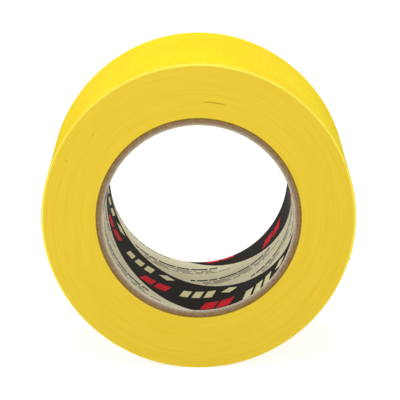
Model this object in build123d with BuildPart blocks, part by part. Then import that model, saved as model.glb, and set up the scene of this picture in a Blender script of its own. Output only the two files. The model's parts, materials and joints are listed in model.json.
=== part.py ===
"""Masking tape roll: one strip of paper tape wound on a spiral-wound paperboard core.

Lengths are in millimetres and angles in degrees. The roll stands on its tread, as if it could roll away
along X: its axis is Y, +Z is up, and the origin is the middle of the bore.
"""

import os
from math import degrees

from build123d import *

# The roll as a whole
TAPE_WIDTH = 72.0
BORE_RADIUS = 38.1
OUTER_RADIUS = 62.4

# The core: a printed paper liner inside paperboard plies, each one strip wound in the same helix
LINER_THICKNESS = 0.12
PLY_THICKNESS = 0.52
PLY_COUNT = 5
GLUE_FILM = 0.02
STRIP_LEAD = 153.0
SEAM_GAP = 0.5
LINER_SEAM_GAP = 0.15
LINER_SEAM_ANGLE = 6.4
PLY_SEAM_STAGGER = 57.2

# The tape: its last turn ends in a free end that can be lifted from the turn below
TAPE_THICKNESS = 0.127
ADHESIVE_GAP = 0.03
TIP_ANGLE = -16.0
SEGMENT_LENGTH = 9.0
SEGMENT_COUNT = 4
CREASE_GAP = 0.04

# The winding is a spiral of two half circles whose centres lie either side of the roll's axis, so that
# the surface drops by one tape thickness in a full turn.
CENTRE_SHIFT = TAPE_THICKNESS / 4
FIRST_HALF_RADIUS = OUTER_RADIUS - CENTRE_SHIFT
SECOND_HALF_RADIUS = OUTER_RADIUS - 3 * CENTRE_SHIFT
TURN_BELOW = TAPE_THICKNESS + ADHESIVE_GAP
CORE_RADIUS = BORE_RADIUS + LINER_THICKNESS + PLY_COUNT * (GLUE_FILM + PLY_THICKNESS)

# A helix that runs towards the front starts at the bottom of the roll, and the cutter for a seam runs
# this many degrees past each end of the core.
HELIX_START_ANGLE = -90.0
SEAM_OVERRUN = 10.0

# Angles along the winding are counted from the tip of the free end
SEGMENT_ANGLE = degrees(SEGMENT_LENGTH / FIRST_HALF_RADIUS)
CREASE_ANGLE = degrees(CREASE_GAP / FIRST_HALF_RADIUS)
FREE_END_ANGLE = SEGMENT_COUNT * SEGMENT_ANGLE


# The roll's mid plane seen from the front, turned so that its own x axis points at the tip
WINDING_PLANE = Plane.XZ.rotated((0, -TIP_ANGLE, 0))


def core_layer(inner_radius, thickness, seam_gap, seam_angle):
    """One layer of the core: a tube with the helical seam of the strip that it was wound from."""
    seam_height = TAPE_WIDTH + 2 * STRIP_LEAD * SEAM_OVERRUN / 360
    with BuildPart() as layer:
        with BuildSketch(Plane.XZ):
            Circle(inner_radius + thickness)
            Circle(inner_radius, mode=Mode.SUBTRACT)
        extrude(amount=TAPE_WIDTH / 2, both=True)
        with BuildLine() as seam:
            Helix(
                pitch=STRIP_LEAD,
                height=seam_height,
                radius=inner_radius + thickness / 2,
                center=(0, seam_height / 2, 0),
                direction=(0, -1, 0),
            )
        start = seam.line @ 0
        with BuildSketch(Plane(start, x_dir=(start.X, 0, start.Z), z_dir=seam.line % 0)):
            Rectangle(2 * thickness, seam_gap)
        sweep(path=seam.line, is_frenet=True, mode=Mode.SUBTRACT)
    seam_angle_as_made = HELIX_START_ANGLE + SEAM_OVERRUN
    return layer.part.rotate(Axis.Y, seam_angle_as_made - seam_angle)


def tape_edge(centre, outer_radius, start_angle, end_angle):
    """The edge-on shape of the tape between two angles about a centre on the winding's x axis."""
    sweep_angle = end_angle - start_angle
    with BuildSketch() as edge:
        with BuildLine():
            outer = CenterArc((centre, 0), outer_radius, start_angle, sweep_angle)
            inner = CenterArc((centre, 0), outer_radius - TAPE_THICKNESS, start_angle, sweep_angle)
            Line(outer @ 0, inner @ 0)
            Line(outer @ 1, inner @ 1)
        make_face()
    return edge.sketch


os.makedirs("parts", exist_ok=True)

# Printed liner: the thin paper strip that faces the bore
printed_liner = core_layer(BORE_RADIUS, LINER_THICKNESS, LINER_SEAM_GAP, LINER_SEAM_ANGLE)
printed_liner.label = "printed_liner"
export_step(printed_liner, "parts/printed_liner.step")

# Core plies, from the inside out, with their seams staggered so that no two lie over each other
for number in range(1, PLY_COUNT + 1):
    ply_radius = BORE_RADIUS + LINER_THICKNESS + number * GLUE_FILM + (number - 1) * PLY_THICKNESS
    ply_seam_angle = LINER_SEAM_ANGLE + number * PLY_SEAM_STAGGER
    core_ply = core_layer(ply_radius, PLY_THICKNESS, SEAM_GAP, ply_seam_angle)
    core_ply.label = f"core_ply_{number}"
    export_step(core_ply, f"parts/core_ply_{number}.step")

# Wound tape: every turn below the last one, solid because the turns are stuck to each other
with BuildPart() as wound_tape:
    with BuildSketch(WINDING_PLANE):
        with BuildLine():
            first_half = CenterArc((CENTRE_SHIFT, 0), FIRST_HALF_RADIUS - TURN_BELOW, 0, 180)
            second_half = CenterArc((-CENTRE_SHIFT, 0), SECOND_HALF_RADIUS - TURN_BELOW, 180, 180)
            Line(second_half @ 1, first_half @ 0)
        make_face()
        Circle(CORE_RADIUS + GLUE_FILM, mode=Mode.SUBTRACT)
    extrude(amount=TAPE_WIDTH / 2, both=True)
wound_tape.part.label = "wound_tape"
export_step(wound_tape.part, "parts/wound_tape.step")

# Outer turn: the last turn, from where it comes up from the turn below to the root of the free end
with BuildPart() as outer_turn:
    with BuildSketch(WINDING_PLANE):
        add(tape_edge(CENTRE_SHIFT, FIRST_HALF_RADIUS, FREE_END_ANGLE + CREASE_ANGLE / 2, 180))
        add(tape_edge(-CENTRE_SHIFT, SECOND_HALF_RADIUS, 180, 360 - CREASE_ANGLE))
    extrude(amount=TAPE_WIDTH / 2, both=True)
outer_turn.part.label = "outer_turn"
export_step(outer_turn.part, "parts/outer_turn.step")

# Free end: the tape past the outer turn, in short stretches from its root to its tip so that it can curl
for number in range(1, SEGMENT_COUNT + 1):
    root_angle = FREE_END_ANGLE - (number - 1) * SEGMENT_ANGLE
    tip_side = root_angle - SEGMENT_ANGLE + CREASE_ANGLE / 2
    with BuildPart() as free_end:
        with BuildSketch(WINDING_PLANE):
            add(tape_edge(CENTRE_SHIFT, FIRST_HALF_RADIUS, tip_side, root_angle - CREASE_ANGLE / 2))
        extrude(amount=TAPE_WIDTH / 2, both=True)
    free_end.part.label = f"free_end_{number}"
    export_step(free_end.part, f"parts/free_end_{number}.step")
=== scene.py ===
"""Looks of the masking tape roll: yellow creped paper tape wound on a board core with a printed liner.

Lengths are in metres, in the CAD's own frame: the roll's axis is Y, +Z is up, and the origin is the middle
of the bore. Angles go anticlockwise as the roll is seen from the front, from the -Y side, starting at +X.
"""

import json
import math

import bpy
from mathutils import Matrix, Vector, noise


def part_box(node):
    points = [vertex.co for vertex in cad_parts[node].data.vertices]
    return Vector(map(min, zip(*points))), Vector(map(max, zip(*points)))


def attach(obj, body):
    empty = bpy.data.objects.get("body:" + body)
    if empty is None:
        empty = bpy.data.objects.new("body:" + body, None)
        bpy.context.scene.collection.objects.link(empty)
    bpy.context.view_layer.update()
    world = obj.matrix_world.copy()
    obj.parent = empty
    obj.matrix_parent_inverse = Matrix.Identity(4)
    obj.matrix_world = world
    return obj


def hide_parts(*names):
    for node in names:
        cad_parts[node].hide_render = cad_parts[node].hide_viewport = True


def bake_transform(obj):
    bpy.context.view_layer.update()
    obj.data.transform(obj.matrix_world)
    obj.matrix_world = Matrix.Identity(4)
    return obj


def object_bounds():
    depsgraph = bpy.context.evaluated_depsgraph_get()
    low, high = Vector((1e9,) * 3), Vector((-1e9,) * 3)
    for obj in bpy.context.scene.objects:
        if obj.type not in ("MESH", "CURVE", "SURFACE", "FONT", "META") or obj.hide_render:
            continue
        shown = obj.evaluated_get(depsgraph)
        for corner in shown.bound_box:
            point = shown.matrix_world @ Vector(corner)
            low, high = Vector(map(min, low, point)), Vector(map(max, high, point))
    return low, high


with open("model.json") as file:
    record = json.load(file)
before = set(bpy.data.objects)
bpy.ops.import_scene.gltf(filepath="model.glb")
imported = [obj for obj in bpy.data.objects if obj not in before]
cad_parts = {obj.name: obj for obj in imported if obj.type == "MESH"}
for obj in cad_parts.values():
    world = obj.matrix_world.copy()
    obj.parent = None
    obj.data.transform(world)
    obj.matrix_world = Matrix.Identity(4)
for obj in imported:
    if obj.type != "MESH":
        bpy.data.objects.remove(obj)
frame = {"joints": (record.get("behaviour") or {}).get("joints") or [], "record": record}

cad_low, cad_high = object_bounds()

MM = 0.001
TURN = 2 * math.pi

# Sizes read from the frame
HALF_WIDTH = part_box("wound_tape")[1].y
CORE_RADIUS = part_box("core_ply_5")[1].z
PLY_OUTER_RADII = [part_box(f"core_ply_{number}")[1].z for number in range(1, 6)]
LINER_OUTER_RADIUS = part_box("printed_liner")[1].z
BORE_RADIUS = frame["record"]["mounts"][0]["dims"]["r_mm"] * MM
HINGES = [Vector(joint["pos_m"]) for joint in frame["joints"]]
HINGE_ANGLES = [math.atan2(hinge.z, hinge.x) for hinge in HINGES]
SEGMENT_ANGLE = HINGE_ANGLES[0] - HINGE_ANGLES[1]
TIP_ANGLE = HINGE_ANGLES[-1] - SEGMENT_ANGLE
FREE_END_ANGLE = HINGE_ANGLES[0] - TIP_ANGLE
OUTER_RADIUS = cad_high.z

# Paper and board thicknesses
TAPE_THICKNESS = 0.127 * MM
ADHESIVE_GAP = 0.03 * MM
TURN_PITCH = TAPE_THICKNESS + ADHESIVE_GAP
PLY_THICKNESS = 0.52 * MM

# The winding: its rubbed rim, how far it is out of round, and the rings and relief of its faces
SHOULDER_DEPTH = 0.5 * MM
SHOULDER_DROP = 0.14 * MM
SIDE_BULGE = 0.5 * MM
TOP_BULGE = 0.4 * MM
FACE_START = CORE_RADIUS + 0.02 * MM
FACE_END = OUTER_RADIUS - 3.2 * TURN_PITCH
FACE_INSET = 0.02 * MM
TURN_RELIEF = 0.006 * MM
BAND_RELIEF = 0.012 * MM
FACE_RINGS = 150
WINDING_STEPS = 432

# The two turns that have parted near the core, over a short arc at the top
LOOSE_RADIUS = 47.5 * MM
LOOSE_REACH = 0.16 * MM
LOOSE_DEPTH = 0.35 * MM
LOOSE_ARC = (math.radians(77), math.radians(88))

# The last turn and its free end. The turns below step down at UNDERLAY_STEP, where the last turn covers
# them. That angle is counted back along the tape from its tip.
UNDERLAY_STEP = FREE_END_ANGLE + math.radians(4)
UNDERLAY_STEP_HALF = 0.001
LAST_TURN_OVERLAP = math.radians(3)
LAST_TURN_SLACK = 0.03 * MM
SLACK_FADE = 0.2
LAST_TURN_STEPS = 400
BEND_STEPS = 24
TIP_BEND_STEPS = 36
STRIP_STEPS = 24
TIP_CURL = 0.3 * MM
TIP_CURL_LENGTH = 2.5 * MM
TIP_WAVER = 0.15 * MM

# The core's strips are wound in one helix, right-handed towards the front
STRIP_LEAD = 153 * MM
LINER_SEAM_ANGLE = math.radians(6.4)
PLY_SEAM_STAGGER = math.radians(57.2)
PLY_SEAM_GAP = 0.5 * MM
PLY_STEPS = 240
PLY_STEPS_ACROSS = 48
BOARD_CUT_DEPTH = 0.05 * MM
LINER_LAP = 3.2 * MM
LINER_LAP_RAMP = 1.2 * MM
LINER_LAP_CLEARANCE = 0.01 * MM
LINER_STEPS = 366
LINER_STEPS_ACROSS = 96
TAIL_LENGTH = 16 * MM
TAIL_DEPTH = 7 * MM
TAIL_LIFT = 0.5 * MM


# ---------------------------------------------------------------- mesh building

# Faces that meet at more than this are shaded with a sharp edge
SHARP_ANGLE = math.radians(35)


def spiral_radius(past_tip):
    """The outer radius of the winding at an angle past the tip, counted back along the tape."""
    return OUTER_RADIUS - TURN_PITCH * past_tip / TURN


def squashed(radius, angle):
    """A turn's radius, as the winding stands out of round at its sides and top, most at the outside."""
    share = max(0.0, (radius - CORE_RADIUS) / (OUTER_RADIUS - CORE_RADIUS))
    bulge = SIDE_BULGE * math.cos(angle) ** 6 + TOP_BULGE * max(0.0, math.sin(angle)) ** 6
    return radius + share * bulge


def shoulder(radius):
    """How far a turn's slit edge draws in from the face near the tread, where the turns are rubbed."""
    into = max(0.0, 1 - (OUTER_RADIUS - radius) / SHOULDER_DEPTH)
    return SHOULDER_DROP * into * into


def swept_mesh(name, angles, section, closed, edge_materials, arc_radius):
    """A solid made by carrying a closed section round the roll's axis.

    section(angle) gives (radius, y, twist) points; twist turns a point further round the axis. Each edge of
    the section has its material's index in edge_materials. The UV map Wrap holds arc length and y.
    """
    columns = [section(angle) for angle in angles]
    count = len(columns[0])
    vertices = [
        (radius * math.cos(angle + twist), y, radius * math.sin(angle + twist))
        for angle, column in zip(angles, columns)
        for radius, y, twist in column
    ]
    faces, indices, wraps = [], [], []
    spans = len(angles) if closed else len(angles) - 1
    for i in range(spans):
        j = (i + 1) % len(angles)
        next_angle = angles[j] + (TURN if j == 0 else 0)
        for k in range(count):
            m = (k + 1) % count
            corners = ((i, k, angles[i]), (j, k, next_angle), (j, m, next_angle), (i, m, angles[i]))
            faces.append([column * count + point for column, point, _ in corners])
            indices.append(edge_materials[k])
            wraps.extend(
                ((angle + columns[column][point][2]) * arc_radius, columns[column][point][1])
                for column, point, angle in corners
            )
    if not closed:
        for i, order in ((0, 1), (len(angles) - 1, -1)):
            loop = list(range(count))[::order]
            faces.append([i * count + point for point in loop])
            indices.append(edge_materials[-1])
            wraps.extend((angles[i] * arc_radius, columns[i][point][1]) for point in loop)
    mesh = bpy.data.meshes.new(name)
    mesh.from_pydata(vertices, [], faces)
    mesh.polygons.foreach_set("material_index", indices)
    wrap = mesh.uv_layers.new(name="Wrap")
    wrap.data.foreach_set("uv", [value for pair in wraps for value in pair])
    mesh.validate()
    mesh.shade_smooth()
    mesh.set_sharp_from_angle(angle=SHARP_ANGLE)
    piece = bpy.data.objects.new(name, mesh)
    bpy.context.scene.collection.objects.link(piece)
    return piece


def spread(start, end, count):
    """Evenly spaced values from start to end, both included."""
    return [start + (end - start) * i / count for i in range(count + 1)]


# Which side each edge of a strip's section is on: 0 outside, 1 slit edge, 2 inside
STRIP_SIDES = [0] * STRIP_STEPS + [1] + [2] * STRIP_STEPS + [1]


def strip_section(outer, half_width, lift=None):
    """Points round the tape's strip seen edge-on. lift(y) raises it by a little at each place across."""
    across = spread(-half_width, half_width, STRIP_STEPS)
    points = [(outer + (lift(y) if lift else 0.0), y, 0.0) for y in across]
    return points + [(radius - TAPE_THICKNESS, y, 0.0) for radius, y, _ in reversed(points)]


# ---------------------------------------------------------------- tape

def turn_relief(radius, angle):
    """How far one turn's slit edge stands in or out of the face, wandering slowly along the turn."""
    turn = (radius - CORE_RADIUS) / TAPE_THICKNESS
    around = Vector((math.cos(angle), math.sin(angle), 0.0))
    fine = noise.noise(around * 0.9 + Vector((0, 0, turn * 0.71)))
    band = noise.noise(around * 0.6 + Vector((7.3, 0, turn * 0.083)))
    return TURN_RELIEF * fine + BAND_RELIEF * band


def loose_turn(radius, angle):
    """The shallow gap where two turns near the core have parted over a short arc at the top."""
    start, end = LOOSE_ARC
    if not start < angle % TURN < end:
        return 0.0
    along = math.sin(math.pi * (angle % TURN - start) / (end - start))
    across = max(0.0, 1 - abs(radius - LOOSE_RADIUS) / LOOSE_REACH)
    return LOOSE_DEPTH * along * across


def winding_underlay_radius(past_tip):
    """The outer radius of the turns below the last one, with its step hidden under the last turn."""
    turns_down = 2 if past_tip < UNDERLAY_STEP else 1
    return spiral_radius(past_tip) - turns_down * TURN_PITCH


def wound_tape():
    """All the turns below the last one, with every turn's slit edge standing a little in or out."""
    step_sides = [UNDERLAY_STEP - UNDERLAY_STEP_HALF, UNDERLAY_STEP + UNDERLAY_STEP_HALF]
    steps = sorted(spread(0, TURN, WINDING_STEPS)[:-1] + step_sides)
    radii = spread(FACE_START, FACE_END, FACE_RINGS)

    def section(angle):
        outer = winding_underlay_radius(angle - TIP_ANGLE)
        face = radii + [(radii[-1] + outer) / 2, outer]
        front, back = [], []
        for radius in face:
            half = HALF_WIDTH - shoulder(radius) - FACE_INSET
            out_of_round = squashed(radius, angle)
            front_y = -half - turn_relief(radius, angle) + loose_turn(radius, angle)
            back_y = half + turn_relief(radius, angle + 3)
            front.append((out_of_round, front_y, 0.0))
            back.append((out_of_round, back_y, 0.0))
        return front + back[::-1]

    on_face = len(radii) + 1
    sides = [1] * on_face + [0] + [1] * on_face + [1]
    return swept_mesh("wound_turns", [TIP_ANGLE + s for s in steps], section, True, sides, OUTER_RADIUS)


def slack(angle, y):
    """The last turn doesn't lie quite flat: broad, very shallow swells over the turns below."""
    around = Vector((math.cos(angle), math.sin(angle), y / OUTER_RADIUS))
    return LAST_TURN_SLACK * (0.5 + noise.noise(around * 2.6))


def last_turn():
    """The last turn, and the turn that it comes from as far as where the free end covers it."""
    end = TURN + FREE_END_ANGLE + LAST_TURN_OVERLAP
    angles = [TIP_ANGLE + past for past in spread(FREE_END_ANGLE, end, LAST_TURN_STEPS)]

    def section(angle):
        past_tip = angle - TIP_ANGLE
        outer = spiral_radius(past_tip)
        from_root = (past_tip - FREE_END_ANGLE) / SLACK_FADE
        from_full_turn = max(0.0, (TURN - past_tip) / SLACK_FADE)
        fade = min(1.0, from_root, from_full_turn)
        half = HALF_WIDTH - shoulder(outer)
        return strip_section(squashed(outer, angle), half, lambda y: fade * slack(angle, y))

    return swept_mesh("last_turn", angles, section, False, STRIP_SIDES, OUTER_RADIUS)


def free_end_piece(number):
    """One bend of the free end: from the middle of one stretch to the middle of the next, over a hinge."""
    start = FREE_END_ANGLE if number == 1 else FREE_END_ANGLE - (number - 1.5) * SEGMENT_ANGLE
    end = 0.0 if number == len(HINGES) else FREE_END_ANGLE - (number - 0.5) * SEGMENT_ANGLE
    steps = BEND_STEPS if number < len(HINGES) else TIP_BEND_STEPS
    angles = [TIP_ANGLE + past for past in spread(end, start, steps)]

    def waver(y):
        """How far round the axis the cut end strays from a straight line."""
        return TIP_WAVER / OUTER_RADIUS * noise.noise(Vector((y / MM * 0.9, 0, 3)))

    def section(angle):
        past_tip = angle - TIP_ANGLE
        outer = spiral_radius(past_tip)
        half = HALF_WIDTH - shoulder(outer)
        near_tip = max(0.0, 1 - past_tip * OUTER_RADIUS / TIP_CURL_LENGTH)
        curled = squashed(outer, angle) + TIP_CURL * near_tip * near_tip
        points = strip_section(curled, half)
        at_cut_end = past_tip <= 1e-9
        return [(radius, y, waver(y)) for radius, y, _ in points] if at_cut_end else points

    piece = swept_mesh(f"free_end_bend_{number}", angles, section, False, STRIP_SIDES, OUTER_RADIUS)
    place = {}
    for key, past in (("start", start), ("end", FREE_END_ANGLE - (number - 0.5) * SEGMENT_ANGLE)):
        angle = TIP_ANGLE + past
        radius = squashed(spiral_radius(past), angle)
        place[key] = (radius * math.cos(angle), 0.0, radius * math.sin(angle))
    parent = "roll" if number == 1 else f"free_end_{number - 1}"
    return piece, parent, place


# ---------------------------------------------------------------- core

def helix_twist(y):
    """How far round the axis a strip's edge has come at y, from where it is at the back face."""
    return (HALF_WIDTH - y) / STRIP_LEAD * TURN


def core_ply(number):
    """One board ply: a strip wound into a tube, with the gap of its seam and a roughly cut end."""
    outer = PLY_OUTER_RADII[number - 1]
    inner = outer - PLY_THICKNESS
    seam = LINER_SEAM_ANGLE + number * PLY_SEAM_STAGGER
    gap = PLY_SEAM_GAP / outer
    angles = spread(seam + gap / 2, seam + TURN - gap / 2, PLY_STEPS)

    def cut(angle, place):
        """How far the rough cut end of the board stands below the face."""
        around = Vector((math.cos(angle), math.sin(angle), place / MM * 1.7))
        rough = noise.noise(around * 5) + 0.6 * noise.noise(around * 31)
        return BOARD_CUT_DEPTH * (rough - 0.6)

    def section(angle):
        points = []
        for radius, direction in ((outer, 1), (inner, -1)):
            for y in spread(-HALF_WIDTH * direction, HALF_WIDTH * direction, PLY_STEPS_ACROSS):
                twist = helix_twist(y)
                at_end = abs(y) > HALF_WIDTH - 1e-9
                drop = cut(angle + twist, radius + y) if at_end else 0.0
                points.append((radius, y + math.copysign(drop, y), twist))
        return points

    sides = ([0] * PLY_STEPS_ACROSS + [1]) * 2
    return swept_mesh(f"board_ply_{number}", angles, section, False, sides, outer)


def loose_tail(from_tip, y):
    """How far the liner's pointed tail has sprung off the wall at the front cut."""
    along = from_tip / TAIL_LENGTH
    if not 0.0 < along < 1.0:
        return 0.0
    deep = max(0.0, 1 - (y + HALF_WIDTH) / TAIL_DEPTH)
    return TAIL_LIFT * math.sin(math.pi * along ** 0.7) * deep * deep


def liner():
    """The printed liner: one thin paper strip whose last few millimetres lap over its first edge."""
    lap = LINER_LAP / BORE_RADIUS
    ramp = LINER_LAP_RAMP / BORE_RADIUS
    start = LINER_SEAM_ANGLE
    end = start + TURN + lap
    thickness = LINER_OUTER_RADIUS - BORE_RADIUS
    angles = spread(start, end, LINER_STEPS)

    def section(angle):
        over = min(1.0, max(0.0, (angle - end + lap + ramp) / ramp))
        inset = (thickness + LINER_LAP_CLEARANCE) * over * over * (3 - 2 * over)
        points = []
        for radius, direction in ((LINER_OUTER_RADIUS, 1), (BORE_RADIUS, -1)):
            for y in spread(-HALF_WIDTH * direction, HALF_WIDTH * direction, LINER_STEPS_ACROSS):
                turned = helix_twist(y)
                from_tip = (end + helix_twist(-HALF_WIDTH) - angle - turned) * BORE_RADIUS
                points.append((radius - inset - loose_tail(from_tip, y), y, turned))
        return points

    sides = [1] * LINER_STEPS_ACROSS + [1] + [0] * LINER_STEPS_ACROSS + [1]
    return swept_mesh("liner_strip", angles, section, False, sides, BORE_RADIUS)


# ---------------------------------------------------------------- materials

def linear(red, green, blue):
    """A screen colour, 0 to 255, as the linear colour that shaders take."""
    def channel(value):
        value /= 255
        return value / 12.92 if value <= 0.04045 else ((value + 0.055) / 1.055) ** 2.4
    return (channel(red), channel(green), channel(blue), 1.0)


class Tree:
    """Short calls that build one material's nodes. Each gives the new node's output socket."""

    def __init__(self, name):
        self.material = bpy.data.materials.new(name)
        self.material.use_nodes = True
        self.tree = self.material.node_tree
        self.shader = self.tree.nodes["Principled BSDF"]

    def put(self, socket, value):
        if isinstance(value, bpy.types.NodeSocket):
            self.tree.links.new(value, socket)
        else:
            socket.default_value = value

    def node(self, kind, inputs=(), **settings):
        made = self.tree.nodes.new(kind)
        for key, value in settings.items():
            setattr(made, key, value)
        for key, value in dict(inputs).items():
            self.put(made.inputs[key], value)
        return made

    def math(self, operation, *values):
        made = self.node("ShaderNodeMath", enumerate(values), operation=operation)
        return made.outputs[0]

    def add(self, a, b):
        return self.math("ADD", a, b)

    def less(self, a, b):
        return self.math("SUBTRACT", a, b)

    def times(self, a, b):
        return self.math("MULTIPLY", a, b)

    def noise(self, vector, scale, detail=3.0, roughness=0.5):
        inputs = {"Vector": vector, "Scale": scale, "Detail": detail, "Roughness": roughness}
        return self.node("ShaderNodeTexNoise", inputs).outputs[0]

    def remap(self, value, low, high, to_low=0.0, to_high=1.0):
        made = self.node("ShaderNodeMapRange")
        for socket, number in zip(made.inputs, (value, low, high, to_low, to_high)):
            self.put(socket, number)
        return made.outputs[0]

    def mix(self, share, a, b):
        made = self.node("ShaderNodeMix", data_type="RGBA")
        for socket, value in ((made.inputs[0], share), (made.inputs[6], a), (made.inputs[7], b)):
            self.put(socket, value)
        return made.outputs[2]

    def stretched(self, vector, scale):
        return self.node("ShaderNodeMapping", {"Vector": vector, "Scale": scale}).outputs[0]

    def joined(self, x, y, z):
        return self.node("ShaderNodeCombineXYZ", {"X": x, "Y": y, "Z": z}).outputs[0]

    def object_place(self):
        return self.node("ShaderNodeTexCoord").outputs["Object"]

    def wrap(self):
        """Arc length and y, in millimetres, as two numbers and as one vector."""
        uv = self.node("ShaderNodeUVMap", uv_map="Wrap").outputs[0]
        scaled = self.stretched(uv, (1 / MM, 1 / MM, 1 / MM))
        parts = self.node("ShaderNodeSeparateXYZ", {0: scaled})
        return parts.outputs[0], parts.outputs[1], scaled

    def bump(self, height, depth):
        inputs = {"Height": height, "Distance": depth, "Strength": 1.0}
        return self.node("ShaderNodeBump", inputs).outputs[0]

    def finish(self, colour, roughness, normal=None):
        self.put(self.shader.inputs["Base Color"], colour)
        self.put(self.shader.inputs["Roughness"], roughness)
        if normal is not None:
            self.put(self.shader.inputs["Normal"], normal)
        return self.material


# Painted highlight: a lighter yellow along the tape's edge, where the face meets the tread
RIM_HIGHLIGHT_YELLOW = (248, 234, 92)


def edge_share(t, distance, width):
    """1 at the very edge, falling to 0 at the given distance from it."""
    return t.remap(distance, 0.0, width, 1.0, 0.0)


def tread_material():
    """The tape's coated face: saturated yellow paper with fine crepe wrinkles across the strip."""
    t = Tree("tape_coated_face")
    _, across, place = t.wrap()
    crepe = t.noise(t.stretched(place, (1.5, 0.12, 1)), 1.0, 4, 0.65)
    grain = t.noise(place, 3.1, 2)
    cloud = t.noise(t.stretched(place, (0.03, 0.02, 1)), 1.0, 2)
    drawn = t.noise(t.stretched(place, (0.02, 0.7, 1)), 1.0, 3)
    yellow = t.mix(t.remap(cloud, 0.35, 0.65), linear(237, 204, 0), linear(241, 213, 4))
    yellow = t.mix(t.remap(drawn, 0.35, 0.7, 0.0, 0.3), yellow, linear(242, 217, 10))
    yellow = t.mix(t.remap(crepe, 0.45, 0.7, 0.0, 0.45), yellow, linear(244, 222, 20))
    yellow = t.mix(t.remap(crepe, 0.5, 0.3, 0.0, 0.35), yellow, linear(230, 193, 0))
    from_edge = t.less(HALF_WIDTH / MM, t.math("ABSOLUTE", across))
    # Painted highlight: the tread turns a lighter yellow within 2.6 mm of each edge
    colour = t.mix(edge_share(t, from_edge, 2.6), yellow, linear(*RIM_HIGHLIGHT_YELLOW))
    roughness = t.remap(grain, 0.3, 0.7, 0.46, 0.6)
    height = t.add(crepe, t.times(grain, 0.25))
    t.shader.inputs["Specular IOR Level"].default_value = 0.01
    return t.finish(colour, roughness, t.bump(height, 0.07 * MM))


# Two specks on the front face: the radius in millimetres and the angle in degrees of each
SPECKS = ((54.0, 140.6), (57.4, 155.5))


def slit_face_material():
    """The flat face of the roll: the cut edges of the turns, duller than the tread, in very fine rings."""
    t = Tree("tape_slit_edges")
    flat = t.stretched(t.object_place(), (1 / MM, 0, 1 / MM))
    radius = t.node("ShaderNodeVectorMath", {0: flat}, operation="LENGTH").outputs["Value"]
    parts = t.node("ShaderNodeSeparateXYZ", {0: flat})
    across, up = parts.outputs[0], parts.outputs[2]

    def ringed(around, outward, seed, detail):
        """Noise drawn out along the turns."""
        sideways = t.add(t.times(across, around), seed)
        where = t.joined(sideways, t.times(radius, outward), t.times(up, around))
        return t.noise(where, 1.0, detail, 0.6)

    rings = ringed(0.05, 3.2, 0.0, 4)
    bands = ringed(0.03, 0.55, 5.0, 2)
    fibre = t.noise(flat, 2.4, 3)
    colour = t.mix(t.remap(rings, 0.3, 0.72), linear(219, 186, 43), linear(228, 198, 58))
    colour = t.mix(t.remap(bands, 0.35, 0.65, 0.0, 0.3), colour, linear(231, 201, 68))
    colour = t.mix(t.remap(fibre, 0.5, 0.75, 0.0, 0.2), colour, linear(214, 178, 36))

    # Painted highlight: the face turns a lighter yellow within 0.7 mm of its outer rim
    rim_highlight = edge_share(t, t.less(OUTER_RADIUS / MM, radius), 0.7)
    colour = t.mix(rim_highlight, colour, linear(*RIM_HIGHLIGHT_YELLOW))
    # Painted shadow: a dark brown line within 0.34 mm of the core, where the winding meets it
    hub_shadow = edge_share(t, t.less(radius, CORE_RADIUS / MM), 0.34)
    colour = t.mix(t.times(hub_shadow, 0.9), colour, linear(104, 78, 26))

    # Painted shade: the face darkens along the gap of the parted turns over the loose arc
    angle = t.math("ARCTAN2", up, across)
    arc = t.math("COMPARE", angle, sum(LOOSE_ARC) / 2, (LOOSE_ARC[1] - LOOSE_ARC[0]) / 2)
    off_arc = t.math("ABSOLUTE", t.less(radius, LOOSE_RADIUS / MM))
    gap = t.times(arc, edge_share(t, off_arc, 0.2))
    colour = t.mix(t.times(gap, 0.5), colour, linear(120, 92, 20))
    for speck_radius, degrees in SPECKS:
        speck_angle = math.radians(degrees)
        spot = (speck_radius * math.cos(speck_angle), 0, speck_radius * math.sin(speck_angle))
        away = t.node("ShaderNodeVectorMath", {0: flat, 1: spot}, operation="DISTANCE").outputs["Value"]
        colour = t.mix(t.times(edge_share(t, away, 0.34), 0.8), colour, linear(120, 96, 40))
    height = t.add(rings, t.times(fibre, 0.3))
    t.shader.inputs["Specular IOR Level"].default_value = 0.08
    return t.finish(colour, 0.7, t.bump(height, 0.03 * MM))


def adhesive_material():
    """The tacky side: a clear rubber coat over pale paper, glossier than the face."""
    t = Tree("tape_adhesive_side")
    _, _, place = t.wrap()
    crepe = t.noise(t.stretched(place, (2.2, 0.16, 1)), 1.0, 4, 0.6)
    streaks = t.noise(t.stretched(place, (0.04, 0.5, 1)), 1.0, 3)
    colour = t.mix(t.remap(streaks, 0.35, 0.65), linear(222, 190, 70), linear(228, 200, 96))
    t.shader.inputs["Coat Weight"].default_value = 0.4
    t.shader.inputs["Coat Roughness"].default_value = 0.2
    return t.finish(colour, 0.5, t.bump(crepe, 0.02 * MM))


# Each ply's lighter and darker tone, from the bore outwards
BOARD_TONES = (
    ((184, 171, 150), (164, 149, 128)),
    ((160, 143, 118), (140, 122, 98)),
    ((146, 122, 92), (126, 102, 74)),
    ((152, 125, 88), (130, 104, 70)),
    ((138, 110, 66), (112, 86, 46)),
)


def board_material(number):
    """Chipboard of one core ply, greyer towards the bore and browner outside, with flecks of fibre."""
    t = Tree(f"core_board_{number}")
    place = t.stretched(t.object_place(), (1 / MM, 1 / MM, 1 / MM))
    pulp = t.noise(place, 1.1, 4, 0.6)
    fleck = t.noise(t.stretched(place, (3, 3, 1.1)), 1.3, 2)
    light, dark = BOARD_TONES[number - 1]
    base = t.mix(t.remap(pulp, 0.35, 0.65), linear(*dark), linear(*light))
    colour = t.mix(t.remap(fleck, 0.62, 0.7, 0.0, 0.5), base, linear(96, 70, 48))
    t.shader.inputs["Specular IOR Level"].default_value = 0.08
    return t.finish(colour, 0.85, t.bump(pulp, 0.06 * MM))


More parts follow.
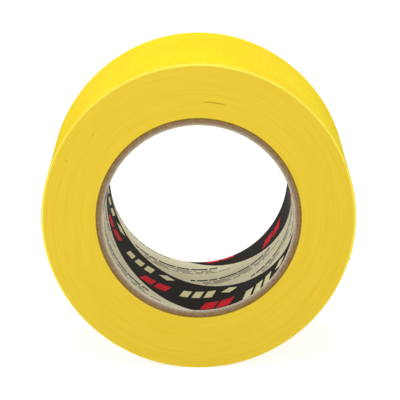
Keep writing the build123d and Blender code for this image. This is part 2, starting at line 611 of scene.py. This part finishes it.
# The liner's print, in millimetres along the strip's arc and across it. The same block repeats down each
# dark band, one step along and one step down, and there are two bands to a lead of the strip.
BAND_SLOPE = STRIP_LEAD / (TURN * BORE_RADIUS)
BAND_CENTRE = 96.7
BAND_HALF = 19.1
STEP_ALONG = 26.4
STEP_DOWN = 16.9
ROW_SHIFT = (3.0, 67.65)
ROW_PITCH = ROW_SHIFT[1] + BAND_SLOPE * ROW_SHIFT[0]
# The cream marks of a block: three leaning bars and a diamond. The red marks: two leaning slabs.
MARK_HALF_HEIGHT = 4.4
CREAM_BLOCK = (157.4, 2.9)
BAR_CENTRES = (-9.6, -4.6, 0.4)
BAR_HALF = 1.75
BAR_LEAN = 0.22
DIAMOND_CENTRE = 8.6
DIAMOND_HALF = 3.6
RED_BLOCK = (160.8, -13.1)
SLAB_CENTRES = (-3.3, 3.3)
SLAB_HALF = 2.7
SLAB_LEAN = 0.3
# The first block of ruled lines in a pale band, and the middle of its span across the strip
RULED_BLOCK = (195.1, 6.75)
RULED_MIDDLE = 3.6
# Each ruled line: its height in the block, its left and right ends, and half its thickness
FINE_LINES = (
    (0.0, -19, 19, 0.9),
    (-2.6, -16, 18, 0.55),
    (-4.4, -14, 17, 0.55),
    (-6.2, -13, 26, 0.55),
)


def print_masks(t):
    """Where each ink lies on the liner: the dark band, the cream marks, the red marks, the fine lines."""
    arc, across, place = t.wrap()
    wander = t.less(t.noise(place, 2.0, 2), 0.5)
    arc = t.add(arc, t.times(wander, 0.12))
    across = t.add(across, t.times(wander, 0.12))
    level = t.add(across, t.times(arc, BAND_SLOPE))

    def inside(value, centre, half):
        return t.math("COMPARE", value, centre, half)

    def either(*masks):
        result = masks[0]
        for mask in masks[1:]:
            result = t.math("MAXIMUM", result, mask)
        return result

    def row_place(offset):
        """Arc and y counted from the row that a point is in, so that both rows print alike."""
        raised = t.math("DIVIDE", t.less(level, BAND_CENTRE + offset), ROW_PITCH)
        row = t.math("ROUND", raised)
        return (
            t.less(arc, t.times(row, ROW_SHIFT[0])),
            t.less(across, t.times(row, ROW_SHIFT[1])),
            row,
        )

    band_arc, band_across, row = row_place(0.0)
    band_level = t.add(band_across, t.times(band_arc, BAND_SLOPE))
    printed_row = t.math("GREATER_THAN", row, -0.5)
    band = t.times(inside(band_level, BAND_CENTRE, BAND_HALF), printed_row)

    def block_place(centre_arc, centre_across):
        """A point's place in the repeat whose middle is nearest along the arc."""
        steps = t.math("ROUND", t.math("DIVIDE", t.less(band_arc, centre_arc), STEP_ALONG))
        along = t.less(t.less(band_arc, centre_arc), t.times(steps, STEP_ALONG))
        up = t.add(t.less(band_across, centre_across), t.times(steps, STEP_DOWN))
        return along, up

    along, up = block_place(*CREAM_BLOCK)
    leaning = t.less(along, t.times(up, BAR_LEAN))
    bars = [
        t.times(inside(leaning, centre, BAR_HALF), inside(up, 0, MARK_HALF_HEIGHT))
        for centre in BAR_CENTRES
    ]
    spread_out = t.add(t.math("ABSOLUTE", t.less(along, DIAMOND_CENTRE)), t.math("ABSOLUTE", up))
    diamond = t.math("LESS_THAN", spread_out, DIAMOND_HALF)
    first_row = t.math("LESS_THAN", row, 0.5)
    cream = t.times(t.times(either(*bars, diamond), first_row), band)

    along, up = block_place(*RED_BLOCK)
    leaning = t.less(along, t.times(up, SLAB_LEAN))
    slabs = [inside(leaning, centre, SLAB_HALF) for centre in SLAB_CENTRES]
    red = t.times(t.times(either(*slabs), inside(up, 0, MARK_HALF_HEIGHT)), band)

    # The same four broken lines are ruled in each pale band
    line_arc, line_across, _ = row_place(ROW_PITCH / 2)
    downs = t.math("ROUND", t.math("DIVIDE", t.less(RULED_MIDDLE, line_across), STEP_DOWN))
    along = t.less(t.less(line_arc, RULED_BLOCK[0]), t.times(downs, STEP_ALONG))
    up = t.add(t.less(line_across, RULED_BLOCK[1]), t.times(downs, STEP_DOWN))
    lines = []
    for number, (height, left, right, half) in enumerate(FINE_LINES):
        width = inside(along, (left + right) / 2, (right - left) / 2)
        dashes = t.noise(t.joined(t.times(along, 0.5), number * 3.7, 4.0), 1.0, 1)
        dash = t.times(t.math("GREATER_THAN", dashes, 0.41), width)
        lines.append(t.times(dash, inside(up, height, half)))
    fine = t.math("MAXIMUM", t.times(either(*lines[1:]), 0.7), lines[0])
    return band, cream, red, fine


def liner_material():
    """Cream liner paper with its print: dark bands that carry plain red and cream marks, and fine lines."""
    t = Tree("liner_print")
    band, cream, red, fine = print_masks(t)
    arc, across, place = t.wrap()
    fibre = t.noise(t.stretched(place, (1.2, 0.35, 1)), 1.0, 4, 0.6)
    cloud = t.noise(place, 0.06, 2)
    along_strip = t.times(t.less(arc, t.times(across, BAND_SLOPE)), 0.04)
    across_strip = t.times(t.add(across, t.times(arc, BAND_SLOPE)), 0.9)
    ridges = t.noise(t.joined(along_strip, across_strip, 0.0), 1.0, 3)
    paper = t.mix(t.remap(fibre, 0.3, 0.7), linear(234, 228, 194), linear(243, 238, 210))
    paper = t.mix(t.remap(cloud, 0.35, 0.65, 0.0, 0.4), paper, linear(231, 225, 190))
    black = t.mix(t.remap(ridges, 0.35, 0.7), linear(22, 16, 8), linear(40, 31, 20))
    colour = t.mix(fine, paper, linear(44, 41, 28))
    colour = t.mix(band, colour, black)
    colour = t.mix(red, colour, linear(230, 18, 40))
    colour = t.mix(cream, colour, linear(240, 232, 182))
    from_cut = t.less(HALF_WIDTH / MM, t.math("ABSOLUTE", across))
    frayed = t.add(from_cut, t.times(t.less(t.noise(place, 0.5, 3), 0.5), 0.8))
    colour = t.mix(t.times(edge_share(t, frayed, 0.7), 0.85), colour, linear(238, 232, 214))
    ink = t.math("MAXIMUM", band, fine)
    t.shader.inputs["Specular IOR Level"].default_value = 0.01
    t.shader.inputs["Sheen Weight"].default_value = 0.4
    t.shader.inputs["Sheen Roughness"].default_value = 0.12
    height = t.add(fibre, ridges)
    return t.finish(colour, t.remap(ink, 0, 1, 0.65, 0.5), t.bump(height, 0.02 * MM))


def plain_paper_material():
    """The unprinted side and cut edges of the liner."""
    t = Tree("liner_back")
    _, _, place = t.wrap()
    fibre = t.noise(t.stretched(place, (1.2, 0.5, 1)), 1.0, 3)
    colour = t.mix(t.remap(fibre, 0.3, 0.7), linear(204, 192, 160), linear(224, 214, 186))
    return t.finish(colour, 0.8)


# How strongly the surround and the floor light the roll, and how white they look
SURROUND_LOW = 1.35
SURROUND_HIGH = 0.25
SURROUND_SEEN = 1.03
FLOOR_GLOW = 0.15
FLOOR_GLOW_SEEN = 0.8
# The surround fades from low to high between these heights, 1 being straight up
HORIZON_TOP = 0.2
OVERHEAD = 0.7
# Each lamp's name, place, size and power
LAMPS = (
    ("key_light", (-0.35, -0.7, 0.35), 0.4, 2.5),
    ("fill_light", (0.45, -0.6, 0.3), 0.4, 0.7),
    ("top_light", (0.0, 0.15, 1.0), 0.6, 5.9),
)


def floor_material():
    """Plain white studio sweep."""
    t = Tree("studio_floor")
    t.shader.inputs["Specular IOR Level"].default_value = 0.0
    t.shader.inputs["Emission Color"].default_value = (1.0, 1.0, 1.0, 1.0)
    glow = t.node("ShaderNodeMix", {2: FLOOR_GLOW, 3: FLOOR_GLOW_SEEN})
    t.put(glow.inputs[0], t.node("ShaderNodeLightPath").outputs["Is Camera Ray"])
    t.put(t.shader.inputs["Emission Strength"], glow.outputs[0])
    return t.finish((0.4, 0.4, 0.4, 1.0), 0.9)


# ---------------------------------------------------------------- assembly

def dress(piece, materials):
    """Gives a piece its materials."""
    for material in materials:
        piece.data.materials.append(material)


def build_tape():
    skins = [tread_material(), slit_face_material(), adhesive_material()]
    turns = wound_tape()
    dress(turns, skins)
    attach(turns, "roll")
    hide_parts("wound_tape")
    outside = last_turn()
    dress(outside, skins)
    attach(outside, "roll")
    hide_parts("outer_turn")
    for number in range(1, len(HINGES) + 1):
        piece, parent, place = free_end_piece(number)
        dress(piece, skins)
        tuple(place["start"])
        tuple(place["end"])
        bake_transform(piece)
        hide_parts(f"free_end_{number}")


def build_core():
    for number in range(1, len(PLY_OUTER_RADII) + 1):
        ply = core_ply(number)
        board = board_material(number)
        dress(ply, [board, board])
        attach(ply, "roll")
        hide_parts(f"core_ply_{number}")
    paper = liner()
    dress(paper, [liner_material(), plain_paper_material()])
    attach(paper, "roll")
    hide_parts("printed_liner")


def build_stage():
    """A wide white floor, a surround that shines most near the horizon, and three soft lights."""
    mesh = bpy.data.meshes.new("floor")
    reach = 4.0
    low = cad_low.z
    corners = [(-reach, -reach, low), (reach, -reach, low), (reach, reach, low), (-reach, reach, low)]
    mesh.from_pydata(corners, [], [(0, 1, 2, 3)])
    floor = bpy.data.objects.new("floor", mesh)
    bpy.context.scene.collection.objects.link(floor)
    mesh.materials.append(floor_material())

    world = bpy.data.worlds.new("studio")
    bpy.context.scene.world = world
    world.use_nodes = True
    nodes, links = world.node_tree.nodes, world.node_tree.links
    direction = nodes.new("ShaderNodeTexCoord").outputs["Generated"]
    height = nodes.new("ShaderNodeSeparateXYZ")
    links.new(direction, height.inputs[0])
    fade = nodes.new("ShaderNodeMapRange")
    links.new(height.outputs[2], fade.inputs[0])
    fade_range = (HORIZON_TOP, OVERHEAD, SURROUND_LOW, SURROUND_HIGH)
    for socket, value in zip(list(fade.inputs)[1:5], fade_range):
        socket.default_value = value
    seen = nodes.new("ShaderNodeMix")
    links.new(nodes.new("ShaderNodeLightPath").outputs["Is Camera Ray"], seen.inputs[0])
    links.new(fade.outputs[0], seen.inputs[2])
    seen.inputs[3].default_value = SURROUND_SEEN
    links.new(seen.outputs[0], nodes["Background"].inputs["Strength"])
    nodes["Background"].inputs["Color"].default_value = (1.0, 1.0, 1.0, 1.0)

    def soft_light(name, place, size, power):
        data = bpy.data.lights.new(name, "AREA")
        data.shape = "DISK"
        data.size = size
        data.energy = power
        lamp = bpy.data.objects.new(name, data)
        lamp.location = place
        lamp.rotation_mode = "QUATERNION"
        lamp.rotation_quaternion = (-Vector(place)).to_track_quat("-Z", "Y")
        bpy.context.scene.collection.objects.link(lamp)

    for name, place, size, power in LAMPS:
        soft_light(name, place, size, power)


def build_camera():
    """The photograph's view: straight at the front face, from a little above, through a long lens."""
    elevation = math.radians(14.1)
    distance = 15 * OUTER_RADIUS
    aim = Vector((0.6 * MM, 0.0, -1.3 * MM))
    eye = Vector((-1.0 * MM, -distance * math.cos(elevation), distance * math.sin(elevation)))
    data = bpy.data.cameras.new("camera")
    data.sensor_width = 36
    data.lens = 203.4
    camera = bpy.data.objects.new("camera", data)
    camera.location = eye
    camera.rotation_mode = "QUATERNION"
    camera.rotation_quaternion = (aim - eye).to_track_quat("-Z", "Y")
    bpy.context.scene.collection.objects.link(camera)
    bpy.context.scene.camera = camera


build_tape()
build_core()
build_stage()
build_camera()
bpy.context.scene.view_settings.view_transform = "Standard"
